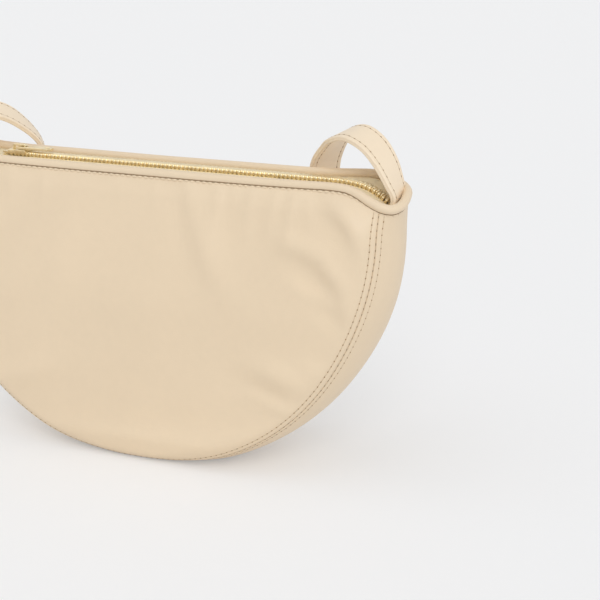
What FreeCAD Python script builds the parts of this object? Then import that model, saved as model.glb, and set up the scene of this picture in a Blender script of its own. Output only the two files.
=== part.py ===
"""Half moon shoulder bag: leather panels and gusset, bound mouth, metal zip and a sewn-in strap.

Millimetres, +Z up, X along the mouth, the front faces -Y. The origin is the middle of the flat base.
"""
import FreeCAD, Part
import math
import os
import Sketcher

Vec = FreeCAD.Vector
Z_AXIS = Vec(0, 0, 1)
Y_AXIS = Vec(0, 1, 0)

# Driving dimensions: alias, value, what it is.
SIZES = (
    ("bag_width", 287.0, "between the side seams"),
    ("rim_height", 165.0, "floor to the top edge of the panels"),
    ("base_depth", 60.0, "between the seams at the floor"),
    ("mouth_depth", 40.0, "between the seams at the ends of the mouth"),
    ("mouth_gap", 30.0, "between the two runs of binding"),
    ("base_flattening", 2.0, "how far the round base is pressed flat"),
    ("panel_belly", 7.0, "swell of each panel"),
    ("gusset_bulge", 7.0, "swell of the gusset at its ends"),
    ("leather_thickness", 1.6, "panel and gusset leather"),
    ("lining_thickness", 0.6, "lining cloth"),
    ("ply_gap", 0.2, "between leather and lining"),
    ("seam_gap", 0.5, "between panel and gusset at the seam"),
    ("binding_diameter", 5.2, "rolled binding of the mouth"),
    ("binding_wall", 1.0, "leather of the binding"),
    ("cord_clearance", 0.1, "round the cord in the binding"),
    ("seat_gap", 0.1, "between the binding and the edge under it"),
    ("flare_run", 22.0, "length over which the binding spreads"),
    ("shoulder_run", 29.0, "from the fall of the rim to its end"),
    ("shoulder_radius", 50.0, "bend where the rim starts to fall"),
    ("shoulder_tilt", 16.0, "fall of the rim at its ends, degrees"),
    ("mouth_corner_radius", 9.0, "corner of the binding, seen from above"),
    ("tape_rise", 1.0, "zip above the middle of the binding"),
    ("tape_thickness", 0.6, "zip tape"),
    ("tape_gap", 0.6, "between zip tape and binding"),
    ("tape_end_gap", 5.5, "between the end of the zip tape and the strap"),
    ("zip_opening", 160.0, "length of the zip that opens"),
    ("zip_end_gap", 0.3, "between the opening and fixed zip"),
    ("tooth_pitch", 2.54, "along one row of teeth"),
    ("tooth_thickness", 1.1, "along the zip"),
    ("tooth_height", 2.5, "across the tape"),
    ("tooth_reach", 3.0, "from the middle of the zip to a tooth's heel"),
    ("tooth_nose", 0.95, "how far a tooth crosses the middle"),
    ("tooth_slot", 1.5, "from the middle of the zip to the slot's end"),
    ("slot_clearance", 0.05, "round the tape in a tooth"),
    ("stop_length", 3.6, "zip stop, along the zip"),
    ("slider_length", 12.5, "zip slider"),
    ("slider_shoulder", 10.8, "widest part of the slider"),
    ("slider_waist", 9.2, "narrow end of the slider"),
    ("slider_wall", 1.1, "wings of the slider"),
    ("slider_clearance", 0.35, "between slider and teeth"),
    ("slider_tape_gap", 0.3, "between slider and tape"),
    ("slider_park_gap", 1.0, "between the parked slider and the opening"),
    ("bridge_length", 8.8, "bridge of the slider"),
    ("bridge_width", 2.4, "bridge of the slider"),
    ("bridge_wall", 0.9, "bridge of the slider"),
    ("bridge_opening", 2.1, "height under the bridge"),
    ("pull_length", 22.0, "pull tab"),
    ("pull_width", 6.4, "pull tab"),
    ("pull_thickness", 1.3, "pull tab"),
    ("pull_slot_width", 3.4, "slot round the bridge"),
    ("pull_slot_length", 4.6, "slot round the bridge"),
    ("pull_eye_radius", 1.6, "round eye near the tip"),
    ("strap_width", 20.0, "shoulder strap"),
    ("strap_ply", 1.5, "each leather of the strap"),
    ("strap_ply_gap", 0.2, "between the two leathers"),
    ("strap_tail_length", 20.0, "sewn end inside the mouth"),
    ("strap_tail_gap", 0.6, "between the sewn end and the lining"),
    ("strap_turn_gap", 0.3, "between the sewn end and the strap"),
    ("strap_lift", 1.6, "where the strap bends above the rim's end"),
    ("strap_pass_gap", 3.0, "between strap and back binding"),
    ("strap_stand_off", 3.0, "between strap and back panel at the floor"),
    ("strap_turn", 38.0, "twist of the strap behind the rim, degrees"),
)

# Shares chosen by hand.
PINCH_START_SHARE = 0.55
BELLY_FADE_POWER = 3
GRID_COLUMN_SHARES = (-1.06, -0.93, -0.8, -0.62, -0.4, 0.0, 0.4, 0.62, 0.8, 0.93, 1.06)
GRID_ROW_SHARES = (-0.04, 0.12, 0.3, 0.5, 0.66, 0.82, 0.94, 1.05)
GUSSET_ANGLE_SHARES = (0.0, 0.25, 0.5, 0.74, 0.9, 1.0)
NOSE_HEIGHT_SHARE = 0.72
WING_SHARES = {"waist": -0.1, "shoulder": -0.3, "nose": -0.4}
PULL_EYE_SHARE = 0.84
# Strap, from its bend at the rim: shares of the way out, the height, the way back and the twist.
STRAP_RISE_SHARES = (
    (1.0, 1.0, 0.0, 0.0),
    (0.9965, 1.055, 0.0, 0.37),
    (0.97, 1.123, 0.01, 0.685),
    (0.908, 1.178, 0.028, 0.79),
    (0.818, 1.2, 0.105, 0.84),
    (0.7355, 1.169, 0.316, 0.895),
    (0.687, 1.104, 0.632, 0.947),
    (0.66, 1.031, 1.0, 1.0),
)
STRAP_FALL_SHARES = (
    (0.628, 0.92, 0.5, 1.0),
    (0.594, 0.767, 0.81, 0.84),
    (0.552, 0.583, 0.94, 0.58),
    (0.497, 0.399, 1.0, 0.32),
    (0.435, 0.233, 1.0, 0.13),
    (0.359, 0.1, 1.0, 0.05),
    (0.249, 0.026, 1.0, 0.0),
    (0.124, 0.002, 1.0, 0.0),
    (0.0, 0.0, 1.0, 0.0),
)

doc = FreeCAD.newDocument("half_moon_bag")
sheet = doc.addObject("Spreadsheet::Sheet", "bag")
for row, (alias, value, note) in enumerate(SIZES, start=1):
    sheet.set("A%d" % row, alias)
    sheet.set("B%d" % row, str(value))
    sheet.set("C%d" % row, note)
    sheet.setAlias("B%d" % row, alias)
doc.recompute()


def size(alias):
    return float(sheet.get(alias))


nodes = []


def keep(obj, label):
    """Name an object as one of the bag's pieces."""
    obj.Label = label
    nodes.append(obj)
    return obj


def feature(shape, label):
    obj = doc.addObject("Part::Feature", label)
    obj.Shape = shape
    obj.Placement = FreeCAD.Placement()
    return keep(obj, label)


def mirrored(shape, normal):
    return shape.mirror(Vec(), normal)


# Values worked out from the driving dimensions.
outline_radius = size("bag_width") / 2
outline_centre = outline_radius - size("base_flattening")
ply = size("leather_thickness") + size("ply_gap") + size("lining_thickness")
tube_radius = size("binding_diameter") / 2
tube_height = size("rim_height") + tube_radius + size("seat_gap")
tube_mid = size("mouth_gap") / 2
tube_side = size("mouth_depth") / 2 - ply / 2
tube_end = outline_radius + size("gusset_bulge") - ply / 2
shoulder_x = tube_end - size("shoulder_run")
flare_x = shoulder_x - size("flare_run")
tilt = math.radians(size("shoulder_tilt"))
tilt_x = shoulder_x + size("shoulder_radius") * math.sin(tilt)
tilt_height = tube_height - size("shoulder_radius") * (1 - math.cos(tilt))
tilt_run = (tube_end - tilt_x) / math.cos(tilt)
tube_end_height = tilt_height - tilt_run * math.sin(tilt)
tape_height = tube_height + size("tape_rise")
tape_side = math.sqrt(tube_radius ** 2 - size("tape_rise") ** 2) + size("tape_gap")
strap_thickness = 2 * size("strap_ply") + size("strap_ply_gap")
overrun = size("bag_width")


def half_depth(z):
    """Half the distance between the two seams at a height."""
    share = z / size("rim_height")
    return (size("base_depth") + (size("mouth_depth") - size("base_depth")) * share) / 2


def smooth(share):
    share = min(max(share, 0.0), 1.0)
    return share * share * (3 - 2 * share)


# Leather and lining panels.
def panel_depth(x, z):
    """Distance of a panel's outer face from the middle plane of the bag."""
    below = min(z - outline_centre, 0.0)
    inside = 1 - (x * x + below * below) / outline_radius ** 2
    height = z / size("rim_height")
    belly = size("panel_belly") * inside * (1 - max(height, 0.0) ** BELLY_FADE_POWER)
    pinch_depth = tube_side - tube_mid
    along = 1 - smooth((abs(x) - flare_x) / size("flare_run"))
    up = smooth((height - PINCH_START_SHARE) / (1 - PINCH_START_SHARE))
    return half_depth(z) + belly - pinch_depth * along * up


def panel_slab(inset, thickness):
    """The front panel's curved sheet, wider than the panel itself."""
    grid = []
    for column in GRID_COLUMN_SHARES:
        x = column * outline_radius
        rows = [share * size("rim_height") for share in GRID_ROW_SHARES]
        grid.append([Vec(x, inset - panel_depth(x, z), z) for z in rows])
    surface = Part.BSplineSurface()
    surface.interpolate(grid)
    return surface.toShape().extrude(Vec(0, thickness, 0))


def base_half(inset):
    radius = outline_radius - inset
    return math.sqrt(radius ** 2 - (outline_centre - inset) ** 2)


def outline_prism(inset):
    """The half moon of the seam, carried through the whole depth."""
    radius = outline_radius - inset
    foot = base_half(inset)
    foot_angle = math.asin((outline_centre - inset) / radius)
    top = size("rim_height") + overrun
    front = -overrun

    def on_arc(angle, side):
        return Vec(side * radius * math.cos(angle), front, outline_centre - radius * math.sin(angle))

    edges = [
        Part.LineSegment(Vec(-foot, front, inset), Vec(foot, front, inset)),
        Part.Arc(on_arc(foot_angle, 1), on_arc(foot_angle / 2, 1), on_arc(0, 1)),
        Part.LineSegment(on_arc(0, 1), Vec(radius, front, top)),
        Part.LineSegment(Vec(radius, front, top), Vec(-radius, front, top)),
        Part.LineSegment(Vec(-radius, front, top), on_arc(0, -1)),
        Part.Arc(on_arc(0, -1), on_arc(foot_angle / 2, -1), on_arc(foot_angle, -1)),
    ]
    wire = Part.Wire([edge.toShape() for edge in edges])
    return Part.Face(wire).extrude(Vec(0, 2 * overrun, 0))


def rim_line(offset, top):
    """Edges of the rim's line in the XZ plane, moved along its own normal by an offset."""
    radius = size("shoulder_radius") + offset
    start = Vec(shoulder_x, 0, tube_height + offset)
    mid = Vec(shoulder_x + radius * math.sin(tilt / 2), 0,
              tube_height - size("shoulder_radius") + radius * math.cos(tilt / 2))
    end = Vec(shoulder_x + radius * math.sin(tilt), 0,
              tube_height - size("shoulder_radius") + radius * math.cos(tilt))
    far = end + Vec(math.cos(tilt), 0, -math.sin(tilt)) * top
    return start, mid, end, far


def rim_trim():
    """Everything above the edge that the binding sits on."""
    start, mid, end, far = rim_line(-tube_radius - size("seat_gap"), overrun / 2)

    def left(point):
        return Vec(-point.x, point.y, point.z)

    high = size("rim_height") + overrun
    edges = [
        Part.LineSegment(left(start), start),
        Part.Arc(start, mid, end),
        Part.LineSegment(end, far),
        Part.LineSegment(far, Vec(far.x, 0, high)),
        Part.LineSegment(Vec(far.x, 0, high), Vec(-far.x, 0, high)),
        Part.LineSegment(Vec(-far.x, 0, high), left(far)),
        Part.LineSegment(left(far), left(end)),
        Part.Arc(left(end), left(mid), left(start)),
    ]
    wire = Part.Wire([edge.toShape() for edge in edges])
    solid = Part.Face(wire).extrude(Vec(0, 2 * overrun, 0))
    solid.translate(Vec(0, -overrun, 0))
    return solid


above_rim = rim_trim()


def panel(inset, thickness):
    return panel_slab(inset, thickness).common(outline_prism(inset)).cut(above_rim)


# Gusset strip and its lining.
def gusset_section(angle, z, inset, thickness, edge):
    """Closed section of the strip where its middle line stands at an angle from level."""
    out = Vec(math.cos(angle), 0, -math.sin(angle))
    swell = size("gusset_bulge") * math.cos(angle)
    half = half_depth(z) - edge
    rings = []
    for depth in (inset, inset + thickness):
        radius = outline_radius - depth
        foot = Vec(radius * math.cos(angle), 0, outline_centre - radius * math.sin(angle))
        if angle <= 0:
            foot.z = z
        rings.append((foot - Y_AXIS * half, foot + out * swell, foot + Y_AXIS * half))
    outer, inner = rings
    edges = [
        Part.Arc(*outer).toShape(),
        Part.makeLine(outer[2], inner[2]),
        Part.Arc(*reversed(inner)).toShape(),
        Part.makeLine(inner[0], outer[0]),
    ]
    return Part.Wire(edges)


def gusset_strip(inset, thickness, edge):
    """Two swelling sides that rise from a flat base plate."""
    foot = base_half(0)
    half = half_depth(0) - edge
    corners = [Vec(foot, -half, inset), Vec(foot, half, inset),
               Vec(foot, half, inset + thickness), Vec(foot, -half, inset + thickness)]
    wires = [Part.makePolygon(corners + corners[:1])]
    foot_angle = math.asin(outline_centre / outline_radius)
    for share in reversed(GUSSET_ANGLE_SHARES[:-1]):
        angle = foot_angle * share
        z = outline_centre - outline_radius * math.sin(angle)
        wires.append(gusset_section(angle, z, inset, thickness, edge))
    clear_top = max(outline_centre, size("rim_height")) + size("binding_diameter")
    wires.append(gusset_section(0, clear_top, inset, thickness, edge))
    side = Part.makeLoft(wires, True, False)
    plate = Part.makeBox(2 * foot, 2 * half, thickness, Vec(-foot, -half, inset))
    whole = plate.multiFuse([side, mirrored(side, Vec(1, 0, 0))]).removeSplitter()
    return whole.cut(above_rim)


leather = size("leather_thickness")
lining_inset = leather + size("ply_gap")
front_panel = panel(0, leather)
front_lining = panel(lining_inset, size("lining_thickness"))
feature(front_panel, "front_panel")
feature(mirrored(front_panel, Y_AXIS), "back_panel")
feature(gusset_strip(0, leather, leather + size("seam_gap")), "gusset")
feature(front_lining, "front_lining")
feature(mirrored(front_lining, Y_AXIS), "back_lining")
feature(gusset_strip(lining_inset, size("lining_thickness"), ply + size("seam_gap")), "gusset_lining")


# Rolled binding of the mouth, with its cord.
def tube_quarter():
    """Middle line of the binding from mid front to the middle of the right end."""
    spread = tube_side - tube_mid
    turn = 2 * math.atan(spread / size("flare_run"))
    bend = size("flare_run") / (2 * math.sin(turn))

    def flare(angle):
        out = bend * (1 - math.cos(angle))
        return Vec(flare_x + bend * math.sin(angle), -tube_mid - out, tube_height)

    def settle(angle):
        back = bend * (1 - math.cos(angle))
        return Vec(shoulder_x - bend * math.sin(angle), back - tube_side, tube_height)

    start, mid, end, _ = rim_line(0, overrun)
    along = Vec(math.cos(tilt), 0, -math.sin(tilt))
    corner = size("mouth_corner_radius")
    side = Y_AXIS * -tube_side
    turn_start = end + side + along * (tilt_run - corner)
    half_turn = turn_start + along * corner * math.sin(math.pi / 4) \
        + Y_AXIS * corner * (1 - math.cos(math.pi / 4))
    turn_end = turn_start + along * corner + Y_AXIS * corner
    end_middle = Vec(turn_end.x, 0, turn_end.z)
    mid_front = Vec(0, -tube_mid, tube_height)
    edges = [
        Part.LineSegment(mid_front, flare(0)),
        Part.Arc(flare(0), flare(turn / 2), flare(turn)),
        Part.Arc(settle(turn), settle(turn / 2), settle(0)),
        Part.Arc(start + side, mid + side, end + side),
        Part.LineSegment(end + side, turn_start),
        Part.Arc(turn_start, half_turn, turn_end),
        Part.LineSegment(turn_end, end_middle),
    ]
    return Part.Wire([edge.toShape() for edge in edges])


def round_run(radius):
    path = tube_quarter()
    ring = Part.Wire([Part.makeCircle(radius, Vec(0, -tube_mid, tube_height), Vec(1, 0, 0))])
    run = path.makePipeShell([ring], True, False)
    print("binding run", round(run.Volume / (math.pi * radius ** 2 * path.Length), 4))
    return run


def round_loop(quarter):
    front = quarter.fuse(mirrored(quarter, Vec(1, 0, 0)))
    return front.fuse(mirrored(front, Y_AXIS)).removeSplitter()


tube_bore = tube_radius - size("binding_wall")
feature(round_loop(round_run(tube_radius).cut(round_run(tube_bore))), "mouth_binding")
feature(round_loop(round_run(tube_bore - size("cord_clearance"))), "binding_cord")


# Zip.
def zip_place(s):
    """Placement on the zip's line at a distance from its middle."""
    side = math.copysign(1, s)
    run = abs(s) - shoulder_x
    radius = size("shoulder_radius") + size("tape_rise")
    angle = min(max(run / radius, 0), tilt)
    x = min(abs(s), shoulder_x) + radius * math.sin(angle)
    z = tape_height - radius * (1 - math.cos(angle))
    rest = max(run - radius * tilt, 0)
    spot = Vec(side * (x + rest * math.cos(tilt)), 0, z - rest * math.sin(tilt))
    return FreeCAD.Placement(spot, FreeCAD.Rotation(Y_AXIS, math.degrees(side * angle)))


def clasp(length, nose):
    """A piece of metal pressed round the front tape's edge; teeth have a nose past the middle."""
    heel = -size("tooth_reach")
    top = size("tooth_height") / 2
    slot = size("tape_thickness") / 2 + size("slot_clearance")
    slot_end = -size("tooth_slot")
    tip = top * NOSE_HEIGHT_SHARE
    profile = [(heel, slot), (heel, top), (min(nose, 0), top), (nose, tip), (nose, -tip),
               (min(nose, 0), -top), (heel, -top), (heel, -slot), (slot_end, -slot), (slot_end, slot)]
    if nose <= 0:
        profile = [(heel, slot), (heel, top), (nose, top), (nose, -top), (heel, -top),
                   (heel, -slot), (slot_end, -slot), (slot_end, slot)]
    points = [Vec(-length / 2, y, z) for y, z in profile]
    return Part.Face(Part.makePolygon(points + points[:1])).extrude(Vec(length, 0, 0))


front_tooth = clasp(size("tooth_thickness"), size("tooth_nose"))
back_tooth = mirrored(front_tooth, Y_AXIS)
pitch = size("tooth_pitch")
open_half = size("zip_opening") / 2
fixed_start = open_half + size("zip_end_gap")


def row(tooth, first, last, shift):
    """Teeth of one tape whose whole thickness lies between two distances from the middle."""
    margin = size("tooth_thickness") / 2
    low = math.ceil((first + margin - shift) / pitch)
    high = math.floor((last - margin - shift) / pitch)
    teeth = []
    for index in range(low, high + 1):
        copy = tooth.copy()
        copy.Placement = zip_place(index * pitch + shift)
        teeth.append(copy)
    return teeth


tape_inner = size("tooth_slot") + 2 * size("slot_clearance")
strap_bend = tube_end_height + size("strap_lift")
tail_top = strap_bend - size("strap_width") / 2 - size("strap_turn_gap")
tail_foot = tail_top - size("strap_tail_length")


def gusset_reach(z, y):
    """How far from the middle the lining of the gusset's end stands."""
    fall = math.asin(max(outline_centre - z, 0.0) / outline_radius)
    across = 1 - (y / (half_depth(z) - ply - size("seam_gap"))) ** 2
    return (outline_radius - ply + size("gusset_bulge") * across * math.cos(fall)) * math.cos(fall)


strap_root = min(gusset_reach(tail_foot, size("strap_width") / 2),
                 gusset_reach(tail_top, size("strap_width") / 2)) \
    - size("strap_tail_gap") - strap_thickness / 2
tape_end = strap_root - strap_thickness / 2 - size("tape_end_gap")
slider_park = open_half + size("slider_park_gap") + size("slider_length") / 2
left_teeth_end = slider_park + size("slider_length") / 2
right_teeth_end = tape_end - size("stop_length")
stop_place = right_teeth_end + size("stop_length") / 2

feature(Part.makeCompound(row(front_tooth, -open_half, open_half, 0)), "zip_teeth_front")
feature(Part.makeCompound(row(back_tooth, -open_half, open_half, pitch / 2)), "zip_teeth_back")
for label, first, last in (("zip_end_teeth_left", -left_teeth_end, -fixed_start),
                           ("zip_end_teeth_right", fixed_start, right_teeth_end)):
    fixed = row(front_tooth, first, last, 0) + row(back_tooth, first, last, pitch / 2)
    feature(Part.makeCompound(fixed), label)


def stop(s):
    """Zip stop on the front tape and its twin on the back tape."""
    front = clasp(size("stop_length"), -size("slot_clearance"))
    pair = [front, mirrored(front, Y_AXIS)]
    for piece in pair:
        piece.Placement = zip_place(s)
    return Part.makeCompound(pair)


feature(stop(-left_teeth_end - size("stop_length") / 2 - size("slider_clearance")), "zip_top_stops")
feature(stop(stop_place), "zip_bottom_stop")

binding_side = "sqrt((bag.binding_diameter / 2) ^ 2 - bag.tape_rise ^ 2)"
outer_edge = "(bag.mouth_gap / 2 - %s - bag.tape_gap)" % binding_side
inner_edge = "(bag.tooth_slot + 2 * bag.slot_clearance)"
for label, side in (("zip_tape_front", -1), ("zip_tape_back", 1)):
    tape = doc.addObject("Part::Box", label)
    tape.setExpression("Length", "bag.zip_opening")
    tape.setExpression("Width", outer_edge + " - " + inner_edge)
    tape.setExpression("Height", "bag.tape_thickness")
    tape.setExpression("Placement.Base.x", "-bag.zip_opening / 2")
    tape.setExpression("Placement.Base.y", "-" + outer_edge if side < 0 else inner_edge)
    tape.setExpression("Placement.Base.z", "bag.rim_height + bag.binding_diameter / 2 + bag.seat_gap"
                                           " + bag.tape_rise - bag.tape_thickness / 2")
    keep(tape, label)


def end_tapes(side):
    """Both tapes where they stay sewn down, at one end of the mouth."""
    half = size("tape_thickness") / 2
    upper = rim_line(size("tape_rise") + half, overrun / 4)
    lower = rim_line(size("tape_rise") - half, overrun / 4)
    start = Vec(0, 0, upper[0].z)
    edges = [
        Part.makeLine(start, upper[0]),
        Part.Arc(upper[0], upper[1], upper[2]).toShape(),
        Part.makeLine(upper[2], upper[3]),
        Part.makeLine(upper[3], lower[3]),
        Part.makeLine(lower[3], lower[2]),
        Part.Arc(lower[2], lower[1], lower[0]).toShape(),
        Part.makeLine(lower[0], Vec(0, 0, lower[0].z)),
        Part.makeLine(Vec(0, 0, lower[0].z), start),
    ]
    band = Part.Face(Part.Wire(edges)).extrude(Vec(0, 2 * overrun, 0))
    band.translate(Vec(0, -overrun, 0))
    middle = tube_mid - tape_side
    wide = tube_side - tape_side
    plan = [(fixed_start, -tape_inner), (fixed_start, -middle), (flare_x, -middle), (shoulder_x, -wide),
            (tape_end, -wide), (tape_end, -tape_inner)]
    points = [Vec(x, y, 0) for x, y in plan]
    front = Part.Face(Part.makePolygon(points + points[:1])).extrude(Vec(0, 0, overrun)).common(band)
    pair = [front, mirrored(front, Y_AXIS)]
    if side < 0:
        pair = [mirrored(piece, Vec(1, 0, 0)) for piece in pair]
    return Part.makeCompound(pair)


feature(end_tapes(-1), "zip_end_tape_left")
feature(end_tapes(1), "zip_end_tape_right")


# Slider and pull tab.
TAPE_LEVEL = "bag.rim_height + bag.binding_diameter / 2 + bag.seat_gap + bag.tape_rise"
PARK = "bag.zip_opening / 2 + bag.slider_park_gap + bag.slider_length / 2"
CHANNEL = "bag.tooth_height / 2 + bag.slider_clearance"


def plane(body, role):
    return next(item for item in body.Origin.OriginFeatures if item.Role == role)


def closed_sketch(body, name, role, points, offset=None):
    """Sketch whose corners are given as pairs of expressions; each corner is held by two sizes."""
    sketch = body.newObject("Sketcher::SketchObject", name)
    sketch.AttachmentSupport = [(plane(body, role), "")]
    sketch.MapMode = "FlatFace"
    if offset:
        sketch.setExpression("AttachmentOffset.Base.z", offset)
    add_loop(sketch, points)
    return sketch


def add_loop(sketch, points):
    places = [Vec(*(evaluate(term) for term in pair), 0) for pair in points]
    first = sketch.GeometryCount
    for index, place in enumerate(places):
        sketch.addGeometry(Part.LineSegment(place, places[(index + 1) % len(places)]), False)
    count = len(places)
    for index in range(count):
        following = first + (index + 1) % count
        sketch.addConstraint(Sketcher.Constraint("Coincident", first + index, 2, following, 1))
    for index, pair in enumerate(points):
        for kind, term in zip(("DistanceX", "DistanceY"), pair):
            value = evaluate(term)
            number = sketch.addConstraint(Sketcher.Constraint(kind, -1, 1, first + index, 1, value))
            sketch.setExpression("Constraints[%d]" % number, term)


def evaluate(term):
    """Value of an expression in the sheet's sizes."""
    return float(sheet.evalExpression(term))


def body_named(label, base_x, base_z):
    body = doc.addObject("PartDesign::Body", label)
    body.setExpression("Placement.Base.x", base_x)
    body.setExpression("Placement.Base.z", base_z)
    return body


def pad(body, sketch, length, midplane=False, backwards=False):
    feature_pad = body.newObject("PartDesign::Pad", sketch.Name + "_pad")
    feature_pad.Profile = sketch
    feature_pad.setExpression("Length", length)
    feature_pad.Midplane = midplane
    feature_pad.Reversed = backwards
    return feature_pad


def length_share(name):
    return "%s * bag.slider_length" % WING_SHARES[name]


wing = body_named("slider_wing", "-(%s)" % PARK, TAPE_LEVEL)
waist = "bag.slider_waist / 2"
shoulder = "bag.slider_shoulder / 2"
tail = "bag.slider_length / 2"
plate = closed_sketch(wing, "wing_plan", "XY_Plane", [
    (tail, "-" + waist), (tail, waist), (length_share("waist"), waist), (length_share("shoulder"), shoulder),
    (length_share("nose"), shoulder), ("-" + tail, "bag.slider_waist / 4"),
    ("-" + tail, "-bag.slider_waist / 4"), (length_share("nose"), "-" + shoulder),
    (length_share("shoulder"), "-" + shoulder), (length_share("waist"), "-" + waist)], CHANNEL)
pad(wing, plate, "bag.slider_wall")
flange = "bag.tooth_height / 2 + bag.slider_clearance - bag.tape_thickness / 2 - bag.slider_tape_gap"
inside = "(bag.tooth_reach + bag.slider_clearance)"
for name, sign in (("near_flange", "-"), ("far_flange", "")):
    strip = closed_sketch(wing, name, "XY_Plane", [
        (tail, sign + inside), (tail, sign + waist), (length_share("waist"), sign + waist),
        (length_share("shoulder"), sign + shoulder), (length_share("nose"), sign + shoulder),
        (length_share("nose"), sign + inside)], CHANNEL)
    pad(wing, strip, flange, backwards=True)
lower_wing = doc.addObject("Part::Mirroring", "slider_lower_wing")
lower_wing.Source = wing
lower_wing.Normal = Z_AXIS
lower_wing.setExpression("Base.z", TAPE_LEVEL)
slider = doc.addObject("Part::Compound", "slider_body")
slider.Links = [wing, lower_wing]
keep(slider, "slider_body")

WING_TOP = TAPE_LEVEL + " + " + CHANNEL + " + bag.slider_wall"
bridge = body_named("slider_bridge", "-(%s)" % PARK, WING_TOP)
reach = "bag.bridge_length / 2"
roof = "(bag.bridge_opening + bag.bridge_wall)"
within = "(bag.bridge_length / 2 - bag.bridge_wall)"
cut = "bag.bridge_wall"
arch = closed_sketch(bridge, "arch", "XZ_Plane", [
    ("-" + reach, "0"), ("-" + reach, roof + " - " + cut), ("-" + within, roof), (within, roof),
    (reach, roof + " - " + cut), (reach, "0"), (within, "0"), (within, "bag.bridge_opening"),
    ("-" + within, "bag.bridge_opening"), ("-" + within, "0")])
pad(bridge, arch, "bag.bridge_width", midplane=True)
keep(bridge, "slider_bridge")

pull = body_named("pull_tab", "-(%s)" % PARK, WING_TOP + " + bag.bridge_opening / 2")
heel = "-bag.pull_thickness / 2"
edge = "bag.pull_width / 2"
slot_edge = "bag.pull_slot_width / 2"
slot_end = "(bag.pull_thickness / 2 + bag.pull_slot_length)"
tip_start = "(bag.pull_length - bag.pull_width / 4)"
tab = closed_sketch(pull, "tab", "XY_Plane", [
    (heel, "-" + edge), (tip_start, "-" + edge), ("bag.pull_length", "-bag.pull_width / 4"),
    ("bag.pull_length", "bag.pull_width / 4"), (tip_start, edge), (heel, edge)])
add_loop(tab, [("bag.pull_thickness / 2", "-" + slot_edge), ("bag.pull_thickness / 2", slot_edge),
               (slot_end, slot_edge), (slot_end, "-" + slot_edge)])
eye = tab.addGeometry(Part.Circle(Vec(PULL_EYE_SHARE * size("pull_length"), 0, 0), Z_AXIS,
                                  size("pull_eye_radius")), False)
for kind, term in (("DistanceX", "%s * bag.pull_length" % PULL_EYE_SHARE), ("DistanceY", "0")):
    number = tab.addConstraint(Sketcher.Constraint(kind, -1, 1, eye, 3, evaluate(term)))
    tab.setExpression("Constraints[%d]" % number, term)
number = tab.addConstraint(Sketcher.Constraint("Radius", eye, size("pull_eye_radius")))
tab.setExpression("Constraints[%d]" % number, "bag.pull_eye_radius")
pad(pull, tab, "bag.pull_thickness", midplane=True)
keep(pull, "pull_tab")


# Shoulder strap.
floor_level = strap_thickness / 2
strap_pass = tube_mid + tube_radius + size("strap_pass_gap") \
    + size("strap_width") / 2 * math.cos(math.radians(size("strap_turn")))
strap_reach = size("base_depth") / 2 + size("strap_width") / 2 + size("strap_stand_off")


def strap_stations():
    """Middle line of the strap's right half, with its twist, from the rim to the floor behind."""
    stations = []
    for out, up, back, turn in STRAP_RISE_SHARES:
        stations.append((Vec(strap_root * out, strap_pass * back, strap_bend * up), turn))
    for out, up, back, turn in STRAP_FALL_SHARES:
        depth = strap_pass + (strap_reach - strap_pass) * back
        height = floor_level + (strap_bend - floor_level) * up
        stations.append((Vec(strap_root * out, depth, height), turn))
    return stations


def strap_half(low, high):
    """One leather of the strap between two distances from its middle surface."""
    stations = strap_stations()
    half = size("strap_width") / 2
    wires = []
    for index, (place, turn) in enumerate(stations):
        before = stations[max(index - 1, 0)][0]
        after = stations[min(index + 1, len(stations) - 1)][0]
        along = after - before
        if index == 0:
            along = Vec(0, 0, 1)
        if index == len(stations) - 1:
            along = Vec(-1, 0, 0)
        along.normalize()
        twist = math.radians(size("strap_turn")) * turn
        across = Vec(math.sin(twist), math.cos(twist), 0)
        across = across - along * across.dot(along)
        across.normalize()
        face = across.cross(along)
        corners = [place + across * (side * half) + face * level
                   for side, level in ((-1, low), (1, low), (1, high), (-1, high))]
        wires.append(Part.makePolygon(corners + corners[:1]))
    run = Part.makeLoft(wires, True, False)
    root = stations[0][0]
    disc = Part.makeCylinder(half, high - low, root + Vec(low, 0, 0), Vec(1, 0, 0))
    below = Part.makeBox(overrun, overrun, overrun, Vec(0, -overrun / 2, root.z - overrun))
    return run.fuse(disc.common(below)).removeSplitter()


def strap_leather(low, high):
    half = strap_half(low, high)
    return half.fuse(mirrored(half, Vec(1, 0, 0))).removeSplitter()


between = size("strap_ply_gap") / 2
feature(strap_leather(between, between + size("strap_ply")), "strap_outer")
feature(strap_leather(-between - size("strap_ply"), -between), "strap_inner")

for label, side in (("strap_tail_left", -1), ("strap_tail_right", 1)):
    corner = Vec(side * strap_root - strap_thickness / 2, -size("strap_width") / 2, tail_foot)
    feature(Part.makeBox(strap_thickness, size("strap_width"), size("strap_tail_length"), corner), label)

doc.recompute()

# Every object is sound before anything is written.
for obj in doc.Objects:
    if "Invalid" in obj.State or "Error" in obj.State:
        raise RuntimeError("%s did not build: %s" % (obj.Label, obj.State))
for obj in nodes:
    if obj.Shape.isNull() or not obj.Shape.isValid() or not obj.Shape.Solids:
        raise RuntimeError("%s has no sound solid" % obj.Label)

os.makedirs("parts", exist_ok=True)
for obj in nodes:
    obj.Shape.exportStep(os.path.join("parts", obj.Label + ".step"))
    print(obj.Label, len(obj.Shape.Solids), round(obj.Shape.Volume, 1))
print("hinge axes: tape y", round(tube_mid - tape_side - size("tape_gap"), 3), "z", round(tape_height, 3),
      "pull x", round(-slider_park, 3), "strap x", round(strap_root, 3), "z", round(strap_bend, 3))
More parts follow.
